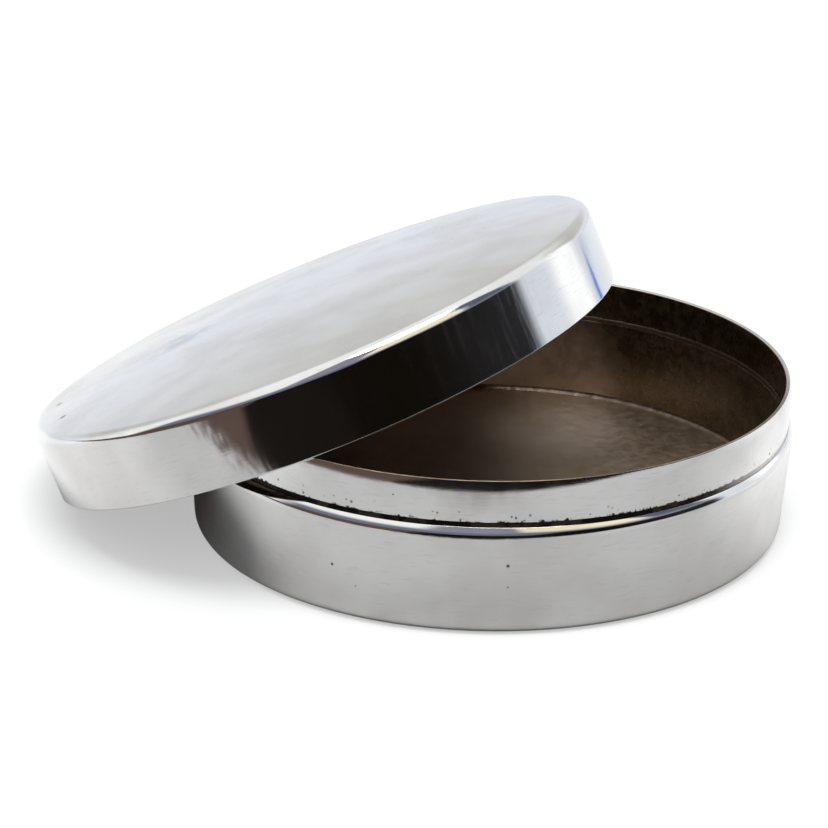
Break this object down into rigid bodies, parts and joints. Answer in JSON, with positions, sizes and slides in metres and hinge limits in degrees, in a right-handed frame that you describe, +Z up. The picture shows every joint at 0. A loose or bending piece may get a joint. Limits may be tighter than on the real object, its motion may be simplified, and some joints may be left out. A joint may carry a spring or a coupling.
{
  "type": "kumkum box",
  "caption": "Small round silver box for kumkum powder: a low base with a slip neck, and a shallow domed lid lifted off and leaning on its rim.",
  "frame": {"origin": "centre of the ring that the base stands on, on the base's own axis", "axes": "+Z up along the base's axis; the open side of the mouth is towards +X and the lid leans to -X; -Y is the front"},
  "size_m": [0.0761, 0.0653, 0.0306],
  "materials": {
    "base_silver": "polished silver, lightly worn",
    "lid_silver": "polished silver, softly hazed on the crown",
    "inside_silver": "dull tarnished silver",
    "solder": "uneven silver solder, dark with tarnish outside"
  },
  "bodies": {
    "base": {"base_wall": "base_silver", "base_floor": "inside_silver", "floor_solder": "solder", "neck_band": "base_silver", "neck_solder": "solder"},
    "lid": {"lid_skirt": "lid_silver", "lid_crown": "lid_silver", "lid_solder": "solder"}
  },
  "joints": [
    {"name": "lid_lift", "type": "slide", "parent": "base", "child": "lid", "axis": [0, 0, 1], "range_m": [0, 0.06]}
  ]
}
